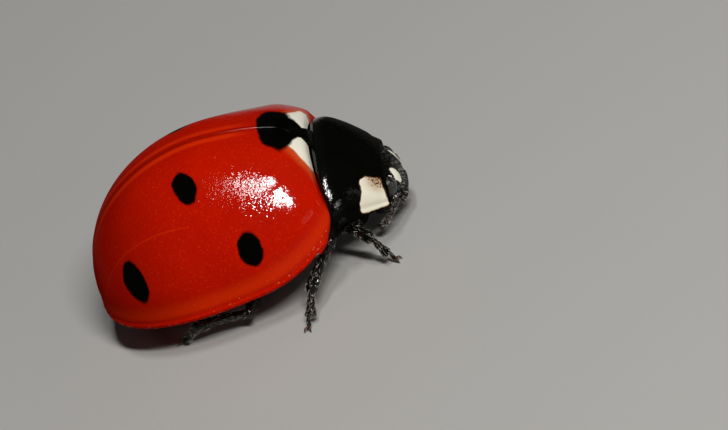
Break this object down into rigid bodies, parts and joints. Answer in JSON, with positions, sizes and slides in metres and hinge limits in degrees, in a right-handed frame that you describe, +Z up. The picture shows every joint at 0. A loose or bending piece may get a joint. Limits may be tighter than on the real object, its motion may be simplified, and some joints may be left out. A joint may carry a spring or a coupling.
{
  "type": "seven-spot ladybird beetle model",
  "caption": "Life-size still model of a spotted red ladybird beetle, wing cases closed, standing on its feet.",
  "frame": {"origin": "bottom centre of the bounding box, on the surface under the feet", "axes": "+Z up, the beetle faces -Y, its right side is -X, and x = 0 is its plane of symmetry"},
  "size_m": [0.0072, 0.0074, 0.0037],
  "materials": {
    "red_shell": "glossy orange-red wing-case shell with black spots and fine pits",
    "black_shell": "glossy black pitted shell with cream patches",
    "underside": "satin black plates with fine pale hairs",
    "leg": "satin black with pale hairs",
    "feeler": "brown, darker at the tips, finely haired",
    "mouthpart": "dark brown, satin",
    "eye": "dark faceted compound eye",
    "hair": "pale translucent bristles"
  },
  "bodies": {
    "root": {"pronotum": "black_shell", "scutellum": "black_shell", "head": "black_shell", "labrum": "mouthpart", "prothorax": "underside", "thorax": "underside", "abdomen": "underside", "leg_front_right_femur": "leg", "leg_front_right_tibia": "leg", "leg_front_right_tarsus": "leg", "leg_front_left_femur": "leg", "leg_front_left_tibia": "leg", "leg_front_left_tarsus": "leg", "leg_middle_right_femur": "leg", "leg_middle_right_tibia": "leg", "leg_middle_right_tarsus": "leg", "leg_middle_left_femur": "leg", "leg_middle_left_tibia": "leg", "leg_middle_left_tarsus": "leg", "leg_hind_right_femur": "leg", "leg_hind_right_tibia": "leg", "leg_hind_right_tarsus": "leg", "leg_hind_left_femur": "leg", "leg_hind_left_tibia": "leg", "leg_hind_left_tarsus": "leg", "elytron_right": "red_shell", "elytron_left": "red_shell", "eye_right": "eye", "eye_left": "eye", "antenna_right": "feeler", "antenna_left": "feeler", "mandible_right": "mouthpart", "mandible_left": "mouthpart", "palp_right": "feeler", "palp_left": "feeler"}
  },
  "joints": []
}
